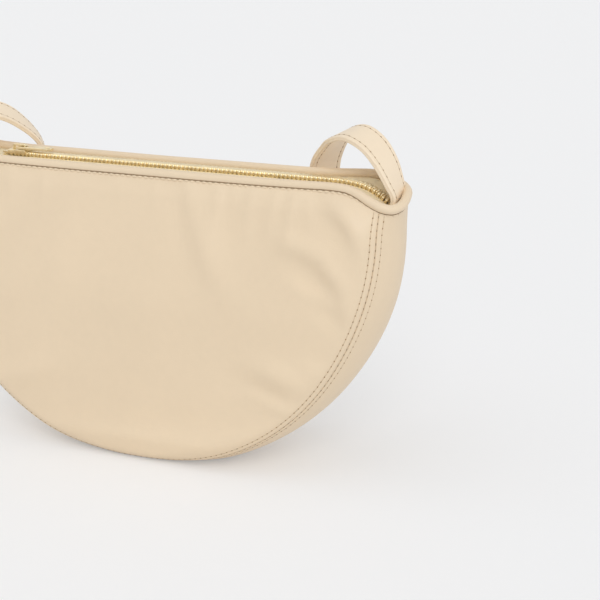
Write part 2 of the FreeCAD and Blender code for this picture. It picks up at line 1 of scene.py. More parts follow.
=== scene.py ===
"""Looks of a half moon shoulder bag: soft cream leather, a rolled mouth with a brass zip, a sewn-in strap."""
import math
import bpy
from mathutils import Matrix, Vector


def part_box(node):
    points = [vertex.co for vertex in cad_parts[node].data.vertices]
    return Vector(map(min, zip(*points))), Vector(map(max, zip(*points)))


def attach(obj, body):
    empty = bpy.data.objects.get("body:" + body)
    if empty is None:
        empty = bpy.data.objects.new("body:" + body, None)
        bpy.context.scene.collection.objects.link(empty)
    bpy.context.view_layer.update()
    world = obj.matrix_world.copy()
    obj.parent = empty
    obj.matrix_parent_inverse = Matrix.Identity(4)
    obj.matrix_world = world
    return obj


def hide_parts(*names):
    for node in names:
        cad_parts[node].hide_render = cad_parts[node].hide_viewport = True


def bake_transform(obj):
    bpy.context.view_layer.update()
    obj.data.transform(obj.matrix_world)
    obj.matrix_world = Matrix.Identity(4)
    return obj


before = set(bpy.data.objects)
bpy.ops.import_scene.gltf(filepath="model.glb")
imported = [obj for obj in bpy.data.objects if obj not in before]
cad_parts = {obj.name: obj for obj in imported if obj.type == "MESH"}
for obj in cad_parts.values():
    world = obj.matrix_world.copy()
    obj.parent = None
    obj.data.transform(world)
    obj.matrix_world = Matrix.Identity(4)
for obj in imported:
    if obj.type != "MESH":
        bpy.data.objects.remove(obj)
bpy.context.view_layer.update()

from types import SimpleNamespace

import bpy
import numpy as np
from mathutils import Vector

bl_info = {
    "name": "Half moon bag",
    "version": (1, 0, 0),
    "blender": (4, 5, 0),
    "location": "View3D > Sidebar > Bag",
    "description": "Dresses the solids of a half moon bag in leather, lining, zip and stitching",
    "category": "Object",
}

MM = 0.001


# Sizes and colours that a user would change
def length(title, says, metres):
    return bpy.props.FloatProperty(name=title, description=says, default=metres, unit="LENGTH")


def tint(title, says, value):
    return bpy.props.FloatVectorProperty(name=title, description=says, default=value, subtype="COLOR", size=3)


class BagSizes(bpy.types.PropertyGroup):
    """Lengths of the bag."""
    outline_radius: length("Outline radius", "Radius of the half moon's seam", 0.1435)
    rim_height: length("Rim height", "Floor to the panels' top edge", 0.165)
    base_depth: length("Base depth", "Between the seams at the floor", 0.06)
    mouth_depth: length("Mouth depth", "Between the seams at the mouth's ends", 0.04)
    gusset_bulge: length("Gusset bulge", "Swell of the gusset's ends", 0.008)
    edge_round: length("Edge round", "Depth of the soft turn at each seam", 0.0045)
    belly: length("Belly", "Swell of the panels", 0.0035)
    leather: length("Leather", "Thickness of the leather", 0.0016)
    lining: length("Lining", "Thickness of the lining", 0.0006)
    binding_radius: length("Binding radius", "Radius of the rolled binding", 0.0026)
    strap_width: length("Strap width", "Width of the strap", 0.02)
    strap_thickness: length("Strap thickness", "Both leathers of the strap", 0.0029)
    stitch_pitch: length("Stitch pitch", "From one stitch to the next", 0.0036)
    strap_pitch: length("Strap stitch pitch", "From one stitch of the strap to the next", 0.004)
    stitch_margin: length("Stitch margin", "From a seam to its row of stitches", 0.0028)


class BagColours(bpy.types.PropertyGroup):
    """Colours of the bag."""
    leather: tint("Leather", "Cream leather", (0.80, 0.645, 0.458))
    # The strap's colour is the leather made paler: partly its own tone, partly a painted sheen for the gloss
    # the lamps give it.
    strap: tint("Strap", "Leather of the strap", (0.91, 0.757, 0.565))
    thread: tint("Thread", "Sewing thread", (0.74, 0.59, 0.405))
    brass: tint("Brass", "Zip metal", (0.97, 0.82, 0.52))
    tape: tint("Tape", "Zip tape", (0.95, 0.83, 0.585))
    lining: tint("Lining", "Lining cloth", (0.68, 0.57, 0.42))
    floor: tint("Floor", "Studio floor", (0.91, 0.91, 0.915))


def sizes():
    """The lengths in millimetres."""
    held = bpy.context.scene.bag_sizes
    return SimpleNamespace(**{key: getattr(held, key) / MM for key in held.__annotations__})


def colours():
    return bpy.context.scene.bag_colours


# Lines and curves
def smooth(t):
    t = np.clip(t, 0.0, 1.0)
    return t * t * (3 - 2 * t)


def points_from(columns):
    return np.stack(columns, axis=1)


def unit(rows):
    return rows / np.linalg.norm(rows, axis=1)[:, None]


def distances(line):
    """How far along a line each of its points lies."""
    return np.concatenate([[0], np.cumsum(np.linalg.norm(np.diff(line, axis=0), axis=1))])


def pick(want, run, rows):
    """Rows read between the given ones, at the wanted distances."""
    return points_from([np.interp(want, run, rows[:, k]) for k in range(rows.shape[1])])


def curve_through(points, count):
    """Points evenly spaced on a smooth curve through the given ones, any number of columns."""
    points = np.asarray(points, float)
    ends = np.vstack([2 * points[0] - points[1], points, 2 * points[-1] - points[-2]])
    fine = []
    for i in range(1, len(ends) - 2):
        p0, p1, p2, p3 = ends[i - 1:i + 3]
        t = np.linspace(0, 1, 24, endpoint=False)[:, None]
        fine.append(0.5 * (2 * p1 + (p2 - p0) * t + (2 * p0 - 5 * p1 + 4 * p2 - p3) * t ** 2
                           + (3 * p1 - p0 - 3 * p2 + p3) * t ** 3))
    fine = np.vstack(fine + [points[-1:]])
    run = distances(fine[:, :3])
    return pick(np.linspace(0, run[-1], count), run, fine)


# Modelling
def clear_selection():
    if bpy.context.object and bpy.context.object.mode != "OBJECT":
        bpy.ops.object.mode_set(mode="OBJECT")
    bpy.ops.object.select_all(action="DESELECT")


def make_active(obj):
    clear_selection()
    obj.select_set(True)
    bpy.context.view_layer.objects.active = obj


def set_up(made, **settings):
    for key, value in settings.items():
        setattr(made, key, value)
    return made


def placed(name, data):
    """A new object of some data, in the scene."""
    obj = bpy.data.objects.new(name, data)
    bpy.context.collection.objects.link(obj)
    return obj


def named(name):
    obj = bpy.context.object
    obj.name = name
    obj.data.name = name
    return obj


def points_of(obj):
    co = np.zeros(len(obj.data.vertices) * 3)
    obj.data.vertices.foreach_get("co", co)
    return co.reshape(-1, 3)


def set_points(obj, points):
    obj.data.vertices.foreach_set("co", points.ravel())
    obj.data.update()


def edit_whole(obj, *steps):
    """Runs edit mode steps on the whole mesh."""
    make_active(obj)
    bpy.ops.object.mode_set(mode="EDIT")
    bpy.ops.mesh.select_all(action="SELECT")
    for step in steps:
        step()
    bpy.ops.object.mode_set(mode="OBJECT")


def merge_and_face_out():
    bpy.ops.mesh.remove_doubles(threshold=0.00002)
    bpy.ops.mesh.normals_make_consistent(inside=False)


def sheet_piece(name, columns, rows, place):
    """A grid laid out in millimetres by a function of how far along and across it a point lies, 0 to 1."""
    clear_selection()
    bpy.ops.mesh.primitive_grid_add(x_subdivisions=columns, y_subdivisions=rows, size=2, calc_uvs=True)
    obj = named(name)
    u, v = ((points_of(obj)[:, :2] + 1) / 2).T
    set_points(obj, points_from(place(u, v)) * MM)
    return obj


def soften(obj):
    make_active(obj)
    bpy.ops.object.shade_smooth()
    return obj


def walled_sheet(name, columns, rows, place, thickness, measure):
    """A sheet turned so that its faces measure more than 0 in all, with its thickness behind them."""
    obj = sheet_piece(name, columns, rows, place)
    edit_whole(obj, merge_and_face_out)
    if sum(measure(face) * face.area for face in obj.data.polygons) < 0:
        edit_whole(obj, bpy.ops.mesh.flip_normals)
    make_active(obj)
    wall = obj.modifiers.new("wall", "SOLIDIFY")
    set_up(wall, thickness=thickness * MM, offset=-1.0, use_even_offset=True)
    bpy.ops.object.modifier_apply(modifier=wall.name)
    return soften(obj)


def angle_shade(obj):
    make_active(obj)
    bpy.ops.object.shade_smooth_by_angle(angle=math.radians(50))


def tube_piece(name, points, radius, closed=False, sides=5):
    """A round run along points in millimetres, made from a bevelled curve."""
    data = bpy.data.curves.new(name, "CURVE")
    set_up(data, dimensions="3D", bevel_depth=radius * MM, bevel_resolution=sides, use_fill_caps=not closed,
           twist_mode="Z_UP")
    line = data.splines.new("POLY")
    line.points.add(len(points) - 1)
    line.points.foreach_set("co", np.c_[points * MM, np.ones(len(points))].ravel())
    line.use_cyclic_u = closed
    make_active(placed(name, data))
    bpy.ops.object.convert(target="MESH")
    return soften(named(name))


def copies(name, model, places):
    """One mesh of many copies of a model, each set by its place in millimetres and its x, y and z axes."""
    co = points_of(model)
    faces = [tuple(p.vertices) for p in model.data.polygons]
    spots = np.array([p[0] for p in places]) * MM
    axes = np.array([[p[1], p[2], p[3]] for p in places])
    points = np.einsum("vk,nkj->nvj", co, axes) + spots[:, None, :]
    all_faces = [tuple(i + n * len(co) for i in f) for n in range(len(places)) for f in faces]
    data = bpy.data.meshes.new(name)
    data.from_pydata(points.reshape(-1, 3).tolist(), [], all_faces)
    return soften(placed(name, data))


def joined(name, objects):
    clear_selection()
    for obj in objects:
        obj.select_set(True)
    bpy.context.view_layer.objects.active = objects[0]
    bpy.ops.object.join()
    return named(name)


def remove(obj):
    mesh = obj.data
    bpy.data.objects.remove(obj)
    bpy.data.meshes.remove(mesh)


def paint(obj, look):
    obj.data.materials.clear()
    obj.data.materials.append(bpy.data.materials[look])


def dress(obj, look, body, replaced=()):
    """Material, replaced solids and, when one is given, the body of a piece."""
    paint(obj, look)
    if body:
        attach(obj, body)
    if replaced:
        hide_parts(*replaced)


# Shape of the bag, in millimetres
FLAT_SOFTNESS = 2.0
OUTLINE_DROP = 2.0
SEAM_LIFT = 0.65
# How far the seam is drawn in under the belly at the base, and at the sides.
BASE_TUCK = 6.0
SEAM_DRAW = 1.7
# Rolled binding from the middle of the front, round the right end, to the middle of the back.
BINDING_ROUTE = (
    (0, -15, 167.2), (40, -15, 167.2), (75, -15, 167.4), (100, -15, 167.8), (114, -15.4, 168.2),
    (124, -16.0, 167.8), (131.5, -16.8, 165.6), (138, -17.7, 162.6), (144.5, -17.8, 160.0),
    (149.2, -15.6, 159.0), (152.0, -10.5, 159.7), (152.7, -5, 161.2), (152.3, 0, 162.8), (150.9, 6, 164.2),
    (147.4, 11.4, 165.6), (141.5, 14.9, 167.5), (134.5, 16.3, 169.4), (127.5, 16.6, 170.2),
    (118, 16.4, 169.8), (108, 16.0, 169.2), (97, 15.6, 168.9), (84, 15.4, 168.7), (40, 15.2, 168.6),
    (0, 15.2, 168.4),
)
# Where the panels' edge meets the binding, out and down from its middle: along the sides, and at the ends.
EDGE_OUT = (2.2, 0.7)
EDGE_DOWN = (1.3, 2.3)


def soft_floor(z):
    """Heights near the floor, pressed flat without a corner."""
    base = (math.sqrt(OUTLINE_DROP ** 2 + FLAT_SOFTNESS ** 2) - OUTLINE_DROP) / 2
    lift = SEAM_LIFT * np.exp(-(np.maximum(z, 0) / 5) ** 2)
    return (z + np.sqrt(z * z + FLAT_SOFTNESS ** 2)) / 2 - base + lift


def half_depth(z):
    s = sizes()
    return (s.base_depth + (s.mouth_depth - s.base_depth) * z / s.rim_height) / 2


def level_outward(line):
    """Level directions away from the mouth along the binding."""
    along = np.gradient(line, axis=0)
    along[:, 2] = 0
    along = unit(along)
    return points_from([along[:, 1], -along[:, 0], np.zeros(len(line))])


def edge_offsets(line):
    """Out and down from the binding's middle to the sewn edge."""
    share = smooth((np.abs(line[:, 0]) - 125) / 20)
    return [side + (end - side) * share for side, end in (EDGE_OUT, EDGE_DOWN)]


def beside(line, away, at):
    """Points beside the binding on its outer side, radians further under than the sewn edge and a way off."""
    out, down = edge_offsets(line)
    angle = np.arctan2(down, out) + at[0]
    drop = np.array([[0, 0, 1]]) * (np.sin(angle) * at[1])[:, None]
    return line + away * (np.cos(angle) * at[1])[:, None] - drop


def corner(near, far, x):
    """The place between two points where x is met."""
    return near + (far - near) * (x - near[0]) / (far[0] - near[0])


class Binding:
    """The rolled binding's line, and the line under it where the panels and the gusset are sewn on."""

    def __init__(self):
        self.half = curve_through(BINDING_ROUTE, 400)
        out, down = edge_offsets(self.half)
        edge = self.half + level_outward(self.half) * out[:, None]
        edge[:, 2] -= down
        edge[[0, -1], 0] = 0
        radius = sizes().outline_radius
        beyond = np.nonzero(edge[:, 0] >= radius)[0]
        first, last = beyond[0], beyond[-1]
        front_corner = corner(edge[first - 1], edge[first], radius)
        back_corner = corner(edge[last + 1], edge[last], radius)
        self.end = np.vstack([front_corner, edge[first:last + 1], back_corner])
        self.front = np.vstack([edge[:first], front_corner])
        self.back = np.vstack([edge[last + 1:][::-1], back_corner])

    def rim_at(self, x, back):
        """Depth and height of the sewn edge along the front or the back."""
        line = self.back if back else self.front
        return [np.interp(np.abs(x), line[:, 0], line[:, k]) for k in (1, 2)]

    def end_at(self, t):
        return pick(t, np.linspace(0, 1, len(self.end)), self.end).T

    def loop(self):
        left = self.half[::-1] * np.array([-1, 1, 1])
        return np.vstack([self.half[:-1], left[:-1]])


def turned(angle):
    """Degrees that the outline has turned from the base."""
    return np.degrees(np.abs(angle))


def swell(angle):
    """How far the gusset stands out."""
    share = 0.8 * smooth((turned(angle) - 3) / 20) + 0.2 * smooth((turned(angle) - 55) / 25)
    return sizes().gusset_bulge * share


def draw_in(angle):
    """How far the gusset's fullness draws the seam in at the sides."""
    return SEAM_DRAW * np.exp(-((turned(angle) - 66) / 20) ** 2)


def tuck(angle):
    """How far the seam is drawn in under the belly near the base."""
    return BASE_TUCK * (1 - smooth(turned(angle) / 26))


def press(z):
    """Heights that would go under the floor, laid on it with a soft turn."""
    return (z + np.sqrt(z * z + 1.5)) / 2


# Soft folds of the front: place, half length, half width, turn in degrees, height.
FOLDS = (
    (44, 135, 23, 8.0, 106, 2.5), (28, 143, 20, 6.0, 100, -1.0), (58, 112, 22, 9.0, 120, 1.2),
    (51, 157, 17, 4.2, 86, 1.6), (61, 160, 11, 3.6, 92, 0.9), (70.5, 157, 18, 4.4, 84, 1.8),
    (78, 160, 11, 3.4, 92, 0.8), (84.5, 157, 18, 4.2, 82, 1.8), (95, 155, 20, 4.8, 80, 2.3),
    (104, 158, 13, 3.8, 95, 1.2), (33, 159, 12, 3.8, 92, 0.8), (125.0, 154.5, 12, 4.6, 142, 1.9),
    (121.5, 145, 14, 5.4, 140, -0.9), (132, 144, 10, 4.4, 118, 1.1), (104, 135, 16, 6.5, -14, 2.5),
    (121, 124, 13, 6.2, -46, 2.4), (129, 107, 13, 5.7, -75, 1.6), (111, 117, 16, 7.0, -35, -1.5),
    (108, 111, 15, 6.0, -20, 1.2), (119, 101, 14, 6.0, -38, -1.2), (94, 63, 20, 7.5, -16, 3.0),
    (84, 52, 18, 5.0, -18, -1.4), (90, 46, 17, 4.5, -22, 1.6), (113, 67, 12, 6.0, -30, 1.4),
    (5, 15, 55, 5.0, 1, 1.5), (62, 21, 26, 5.0, 16, 1.3), (40, 31, 30, 9.0, 10, -0.7),
    (5, 75, 45, 20, 60, 1.2), (-45, 125, 34, 11, 80, 1.6), (-80, 95, 34, 10, 55, 2.0),
    (-60, 158, 14, 3.8, 92, 0.7), (-82, 158, 15, 4.0, 96, 0.8), (-100, 124, 24, 7, 40, 2.4),
    (-70, 45, 30, 9, 22, 2.2), (-122, 154, 12, 4.2, 40, 2.6), (-10, 159, 12, 3.8, 90, 0.5),
    (12, 159, 12, 3.6, 88, 0.5), (-122, 100, 14, 6.0, 70, 2.0), (-97, 157, 15, 4.2, 98, 0.9),
)
BACK_FOLDS = 0.6
# Distances of a panel's rows from the seam.
MARGINS = np.concatenate([
    [0, 0.35, 0.8, 1.4, 2.0, 2.5, 3.0, 3.5, 4.0, 4.8, 5.9], np.arange(7.2, 142, 2.1), [143.5]])
# Each straight side under the rim, as a share of the outline's quarter turn.
SIDE_SHARE = 0.1
SEAM_NOTCH = 0.35
NOTCH_WIDTH = 0.6
PANEL_GROOVE = 0.32
GUSSET_GROOVE = 0.3
GROOVE_WIDTH = 0.75
# The panels lean in to the rim from this height at the seam, and from this much lower in their middle.
LEAN_HEIGHT = 141
LEAN_LOWER = 51
RIM_LEAN = 1.8
# Puff of the panels below the binding.
RIM_PUFF = 1.5


def folds(x, z):
    lift = np.zeros_like(x)
    for cx, cz, reach, width, turn, height in FOLDS:
        c, s = math.cos(math.radians(turn)), math.sin(math.radians(turn))
        along = (x - cx) * c + (z - cz) * s
        across = -(x - cx) * s + (z - cz) * c
        lift += height * np.exp(-(along / reach) ** 2 - (across / width) ** 2)
    return lift


def outline(p):
    """Angle from the base, and share of the straight side, at a place from -1 to 1 and a little beyond."""
    return np.clip(p, -1, 1) * math.pi / 2, np.clip((np.abs(p) - 1) / SIDE_SHARE, 0, 1)


def outline_middle():
    """Height of the outline's middle, before and after the floor presses it."""
    centre = sizes().outline_radius - OUTLINE_DROP
    return centre, float(soft_floor(np.array(centre)))


def near_seam(gap, width):
    return np.exp(-(gap / width) ** 2)


def panel_points(binding, back, inset):
    """Layout function for a panel: columns run round the outline, rows run in from the seam."""
    s = sizes()
    radius = s.outline_radius
    centre, flat_centre = outline_middle()

    def place(u, v):
        p = (u * 2 - 1) * (1 + SIDE_SHARE)
        return panel_at(p, np.interp(v * (len(MARGINS) - 1), np.arange(len(MARGINS)), MARGINS))

    def panel_at(p, margin, lift=0.0):
        angle, up = outline(p)
        notch = SEAM_NOTCH * near_seam(margin, NOTCH_WIDTH)
        drawn = draw_in(angle) * (1 - margin / radius)
        reach = np.maximum(radius - inset - margin - (notch + drawn) * (1 - up ** RIM_LEAN), 0)
        x = reach * np.sin(angle)
        under = np.maximum(radius - inset - margin, 0) * np.sin(angle)
        rim_y, top = binding.rim_at(under, back)
        z = soft_floor(centre - reach * np.cos(angle))
        z = np.where(np.abs(p) >= 1, flat_centre + up * (top - flat_centre), z)
        tucked = tuck(angle)
        depth_here = half_depth(z) - tucked
        turn = math.pi / 2 - np.arctan(2 * swell(angle) / depth_here)
        edge_round = s.edge_round + tucked
        bend = edge_round / (1 - np.cos(turn))
        bend_end = bend * np.sin(turn)
        arc = np.sqrt(np.maximum(bend ** 2 - (bend_end - margin) ** 2, 0)) - bend * np.cos(turn)
        rounded = np.where(margin < bend_end, arc, edge_round)
        belly = s.belly * (1 - (reach / radius) ** 2) * (1 - np.clip(z / s.rim_height, 0, 1) ** 3)
        start = LEAN_HEIGHT - LEAN_LOWER * smooth(margin / 40)
        to_rim = np.clip((z - start) / np.maximum(top - start, 1), 0, 1) ** RIM_LEAN
        wave = folds(-x if back else x, z) * smooth(margin / 9) * (1 - smooth((z - top + 3) / 2.5))
        wave = wave * (BACK_FOLDS if back else 1.0)
        below = top - z
        puff = RIM_PUFF * smooth(below / 11) * (1 - smooth((below - 9) / 50)) * smooth(margin / 14)
        groove = PANEL_GROOVE * near_seam(margin - s.stitch_margin, GROOVE_WIDTH) + notch
        depth = (depth_here + rounded + belly) * (1 - to_rim) + np.abs(rim_y) * to_rim
        depth = depth + wave + puff - groove * (1 - to_rim ** 4) - inset + lift
        return x, (depth if back else -depth), z

    place.at = panel_at
    return place


def gusset_points(binding, inset):
    """Layout function for the gusset: columns run round the outline, rows from the front seam to the back."""
    s = sizes()
    radius = s.outline_radius
    centre, flat_centre = outline_middle()

    def place(u, v):
        across = v * 2 - 1
        across = np.sign(across) * (1 - (1 - np.abs(across)) ** 1.35)
        return gusset_at((u * 2 - 1) * (1 + SIDE_SHARE), across)

    def gusset_at(p, across, lift=0.0):
        angle, up = outline(p)
        straight = np.abs(p) >= 1
        to_rim = up ** RIM_LEAN
        drawn = draw_in(angle) * (1 - to_rim)
        x = (radius - drawn) * np.sin(angle)
        z = soft_floor(centre - (radius - drawn) * np.cos(angle))
        end_x, end_y, end_z = binding.end_at((across + 1) / 2)
        z = np.where(straight, flat_centre + up * (end_z - flat_centre), z)
        depth_here = half_depth(z) - tuck(angle)
        gap = (1 - np.abs(across)) * depth_here
        notch = SEAM_NOTCH * near_seam(gap, NOTCH_WIDTH)
        groove = GUSSET_GROOVE * near_seam(gap - s.stitch_margin, GROOVE_WIDTH)
        out = (swell(angle) + 1.2 * drawn) * (1 - across ** 2) - groove - notch - inset + lift
        x = x + np.sin(angle) * out
        room = np.maximum(z - inset, 0)
        swollen = inset + room + press(room - np.cos(angle) * out) - press(room)
        z = np.where(straight, z, np.maximum(swollen, inset))
        y = across * (depth_here - inset) - np.sign(across) * notch
        x = x * (1 - to_rim) + np.sign(p) * (end_x - inset) * to_rim
        y = y * (1 - to_rim) + end_y * to_rim
        return x, y, z

    place.at = gusset_at
    return place


# Materials
def feed(tree, target, values):
    """Links sockets to a node's inputs, or sets plain values on them."""
    for key, value in values.items():
        if isinstance(value, bpy.types.NodeSocket):
            tree.links.new(value, target.inputs[key])
        else:
            target.inputs[key].default_value = value
    return target


def node(tree, kind, values=None, **settings):
    return feed(tree, set_up(tree.nodes.new(kind), **settings), values or {})


def math_node(tree, operation, a, b):
    return node(tree, "ShaderNodeMath", {0: a, 1: b}, operation=operation).outputs[0]


def group(name, inputs, outputs):
    """A shader node group: its tree, the sockets that it is given, and the node that takes its results."""
    tree = bpy.data.node_groups.new(name, "ShaderNodeTree")
    for title, kind, value in inputs:
        socket = tree.interface.new_socket(name=title, in_out="INPUT", socket_type="NodeSocket" + kind)
        socket.default_value = value
    for title, kind in outputs:
        tree.interface.new_socket(name=title, in_out="OUTPUT", socket_type="NodeSocket" + kind)
    return tree, tree.nodes.new("NodeGroupInput").outputs, tree.nodes.new("NodeGroupOutput")


def mottle_group():
    """Slow and quick colour variation, and a roughness that follows it."""
    inputs = (("Vector", "Vector", (0, 0, 0)), ("Light", "Color", (1, 1, 1, 1)),
              ("Dark", "Color", (0.5, 0.5, 0.5, 1)), ("Scale", "Float", 20.0), ("Roughness", "Float", 0.5))
    tree, given, results = group("mottle", inputs, (("Colour", "Color"), ("Roughness", "Float")))
    where = {"Vector": given["Vector"]}
    slow = node(tree, "ShaderNodeTexNoise", {**where, "Scale": given["Scale"], "Detail": 3}).outputs["Fac"]
    quick_scale = math_node(tree, "MULTIPLY", given["Scale"], 14)
    quick = node(tree, "ShaderNodeTexNoise", {**where, "Scale": quick_scale, "Detail": 4}).outputs["Fac"]
    shares = [math_node(tree, "MULTIPLY", *each) for each in ((slow, 0.7), (quick, 0.3))]
    both = math_node(tree, "ADD", *shares)
    spread = node(tree, "ShaderNodeMapRange", {"Value": both, "From Min": 0.32, "From Max": 0.68})
    tones = {"Factor": spread.outputs[0], "A": given["Dark"], "B": given["Light"]}
    mix = node(tree, "ShaderNodeMix", tones, data_type="RGBA")
    uneven = math_node(tree, "MULTIPLY", math_node(tree, "SUBTRACT", quick, 0.5), 0.16)
    rough = math_node(tree, "ADD", given["Roughness"], uneven)
    feed(tree, results, {"Colour": mix.outputs["Result"], "Roughness": rough})


def relief_group(name, scale):
    return group(name, (("Vector", "Vector", (0, 0, 0)), ("Scale", "Float", scale)), (("Height", "Float"),))


def grain_group():
    """Fine pebbled skin with small pores, as a height."""
    tree, given, results = relief_group("skin_grain", 1100.0)
    where = {"Vector": given["Vector"]}
    cells = node(tree, "ShaderNodeTexVoronoi", feature="SMOOTH_F1")
    feed(tree, cells, {**where, "Scale": given["Scale"], "Smoothness": 0.6})
    wide = math_node(tree, "MULTIPLY", given["Scale"], 0.2)
    waves = node(tree, "ShaderNodeTexNoise", {**where, "Scale": wide, "Detail": 3})
    pores = math_node(tree, "MULTIPLY", cells.outputs["Distance"], -0.5)
    total = math_node(tree, "ADD", pores, math_node(tree, "MULTIPLY", waves.outputs["Fac"], 0.8))
    feed(tree, results, {"Height": total})


def weave_group():
    """Crossing threads, as a height."""
    tree, given, results = relief_group("weave", 1000.0)
    threads = {"Vector": given["Vector"], "Scale": given["Scale"], "Distortion": 0.6}
    waves = [node(tree, "ShaderNodeTexWave", threads, bands_direction=axis) for axis in ("X", "Z")]
    feed(tree, results, {"Height": math_node(tree, "MULTIPLY", *(wave.outputs["Fac"] for wave in waves))})


def use_group(tree, name, values):
    return node(tree, "ShaderNodeGroup", values, node_tree=bpy.data.node_groups[name]).outputs


def shade(colour, factor):
    return tuple(min(c * factor, 1.0) for c in colour) + (1.0,)


def new_material(name):
    made = bpy.data.materials.new(name)
    if made.name != name:
        raise RuntimeError("the name " + name + " is taken by another material")
    made.use_nodes = True
    return made, made.node_tree, made.node_tree.nodes["Principled BSDF"]


def material(name, colour, dark, mottle, roughness, relief, scale, strength, distance=0.0004, metallic=0.0,
             sheen=0.0, specular=0.5):
    """A Principled surface with mottled colour and a fine relief from one of the shared groups."""
    _, tree, shader = new_material(name)
    where = node(tree, "ShaderNodeTexCoord").outputs["Object"]
    tones = {"Vector": where, "Light": shade(colour, 1.0), "Dark": shade(colour, dark), "Scale": mottle,
             "Roughness": roughness}
    tone = use_group(tree, "mottle", tones)
    height = use_group(tree, relief, {"Vector": where, "Scale": scale})["Height"]
    bump = node(tree, "ShaderNodeBump", {"Height": height, "Strength": strength, "Distance": distance})
    feed(tree, shader, {
        "Base Color": tone["Colour"], "Roughness": tone["Roughness"], "Normal": bump.outputs["Normal"],
        "Metallic": metallic, "Sheen Weight": sheen, "Specular IOR Level": specular})


# Painted shade: the dark of the needle holes, where shade falls in the leather.
NEEDLE_HOLE_SHADE = (0.40, 0.255, 0.13)
DITCH = (0.33, 0.225, 0.13)
SEAM = (0.68, 0.51, 0.325)
COTTON = (0.8, 0.77, 0.7)


class BAG_OT_finishes(bpy.types.Operator):
    """Makes the leather, thread, brass, tape and lining materials"""
    bl_idname = "bag.finishes"
    bl_label = "Finishes"

    def execute(self, context):
        mottle_group()
        grain_group()
        weave_group()
        c = colours()
        # Colour, darker share, fineness of the tones, roughness, relief, its fineness and strength.
        material("cream_leather", c.leather, 0.955, 16, 0.47, "skin_grain", 1150, 0.16, distance=0.0003)
        # The strap's paler colour carries a painted sheen as well as its own tone.
        material("strap_leather_and_sheen", c.strap, 0.955, 24, 0.45, "skin_grain", 1150, 0.14, distance=0.0003)
        material("thread", c.thread, 0.7, 300, 0.7, "weave", 2600, 0.3, distance=0.0001)
        # Needle holes: dark dots of painted shade.
        material("needle_hole_shade", NEEDLE_HOLE_SHADE, 0.7, 300, 0.9, "skin_grain", 1500, 0.1)
        material("ditch_shadow", DITCH, 0.75, 300, 0.9, "skin_grain", 1500, 0.1)
        material("seam_shadow", SEAM, 0.8, 200, 0.8, "skin_grain", 1500, 0.1)
        material("zip_brass", c.brass, 0.8, 160, 0.33, "skin_grain", 1800, 0.06,
                 distance=0.0001, metallic=1.0)
        material("woven_tape", c.tape, 0.86, 120, 0.85, "weave", 900, 0.5, distance=0.0003, specular=0.1)
        material("lining_cloth", c.lining, 0.9, 60, 0.9, "weave", 700, 0.35,
                 distance=0.0003, sheen=0.2, specular=0.1)
        material("cord_cotton", COTTON, 0.85, 200, 0.95, "weave", 900, 0.5)
        return {"FINISHED"}


# Stage
SKY_COLOUR = (0.98, 0.99, 1.0, 1)
SKY_LIGHT = 0.60
BACKDROP_COLOUR = (0.875, 0.875, 0.88, 1)
# Lamps: direction, spread in degrees, power.
LAMPS = (
    ("key_light", (0.40, -0.78, 0.60), 36, 0.93), ("top_light", (-0.35, -0.35, 1.0), 60, 0.42),
    ("side_light", (0.95, 0.22, 0.16), 60, 0.46),
)
# Share and brightness of the floor's own paleness, which is seen but doesn't light the object.
FLOOR_GLOW = 0.27
GLOW_SHADE = 1.085
# Camera: turn and rise in degrees, the rest in millimetres.
CAMERA_TURN = 22.066
CAMERA_RISE = 17.138
CAMERA_DISTANCE = 785.04
CAMERA_TARGET = (91.2, 0, 98.44)
CAMERA_LENS = 84
CAMERA_SENSOR = 36


def seen_directly(tree):
    """1 for what the camera sees, plainly or in metal and glass, and 0 for light on the object."""
    path = node(tree, "ShaderNodeLightPath").outputs
    total = math_node(tree, "ADD", path["Is Camera Ray"], path["Is Glossy Ray"])
    return math_node(tree, "MINIMUM", math_node(tree, "ADD", total, path["Is Transmission Ray"]), 1.0)


def mix_seen(tree, share, plain, seen, output):
    """Shows one shader to light and, by a share, another to the camera."""
    mix = node(tree, "ShaderNodeMixShader", {"Fac": share, 1: plain.outputs[0], 2: seen.outputs[0]})
    feed(tree, tree.nodes[output], {"Surface": mix.outputs[0]})


def floor_finish():
    """Pale floor that keeps a soft shadow."""
    made, tree, shader = new_material("studio_floor")
    colour = colours().floor
    feed(tree, shader, {"Base Color": shade(colour, 1.0), "Roughness": 0.9, "Specular IOR Level": 0.1})
    glow = node(tree, "ShaderNodeEmission", {"Color": shade(colour, GLOW_SHADE)})
    share = math_node(tree, "MULTIPLY", seen_directly(tree), FLOOR_GLOW)
    mix_seen(tree, share, shader, glow, "Material Output")
    return made


def aim(name, data, place, back):
    """A lamp or camera at a place, looking away from a direction."""
    turn = (-back).to_track_quat("-Z", "Y").to_euler()
    return set_up(placed(name, data), location=place, rotation_euler=turn)


